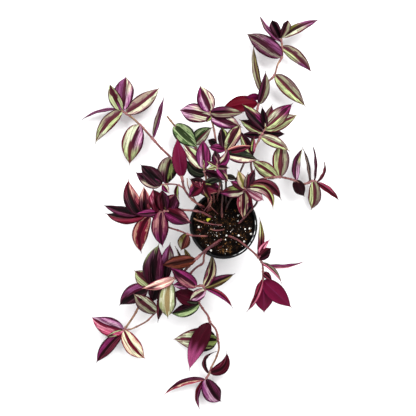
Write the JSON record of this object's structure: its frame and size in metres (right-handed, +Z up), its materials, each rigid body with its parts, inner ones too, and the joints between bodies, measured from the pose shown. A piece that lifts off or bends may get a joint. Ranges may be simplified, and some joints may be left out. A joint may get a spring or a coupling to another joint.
{
  "type": "potted tradescantia",
  "caption": "Trailing tradescantia with striped silver, green and purple leaves, growing from a black round nursery pot of soil, its stems hanging over the rim and along the surface.",
  "frame": {"origin": "middle of the pot's flat base, on the surface it stands on", "axes": "+Z up out of the pot, +Y along the longest spread of the trailing stems, +X to the right seen from above"},
  "size_m": [0.4268, 0.6463, 0.1384],
  "materials": {
    "pot_plastic": "black moulded plastic with a soft sheen",
    "soil": "dark potting mix with white perlite crumbs and bark",
    "leaf_striped": "living leaf, satin, silvery green bands on dark purple",
    "leaf_magenta": "living leaf, satin, pink and cream bands on purple",
    "leaf_green": "living leaf, satin, green with darker stripes",
    "leaf_burgundy": "living leaf, satin, deep burgundy"
  },
  "bodies": {
    "root": {"nursery_pot": "pot_plastic", "potting_soil": "soil", "shoot_top_right": "leaf_striped", "shoot_upper_middle": "leaf_magenta", "shoot_green_pair": "leaf_green", "shoot_upper_right": "leaf_striped", "shoot_right": "leaf_striped", "shoot_middle_right": "leaf_striped", "shoot_middle": "leaf_magenta", "shoot_middle_young": "leaf_magenta", "shoot_crown_left": "leaf_burgundy", "shoot_crown_right": "leaf_striped", "shoot_left": "leaf_burgundy", "shoot_upper_left": "leaf_striped", "shoot_lower_left": "leaf_striped", "shoot_bottom": "leaf_magenta", "shoot_lower_right": "leaf_burgundy"}
  },
  "joints": []
}
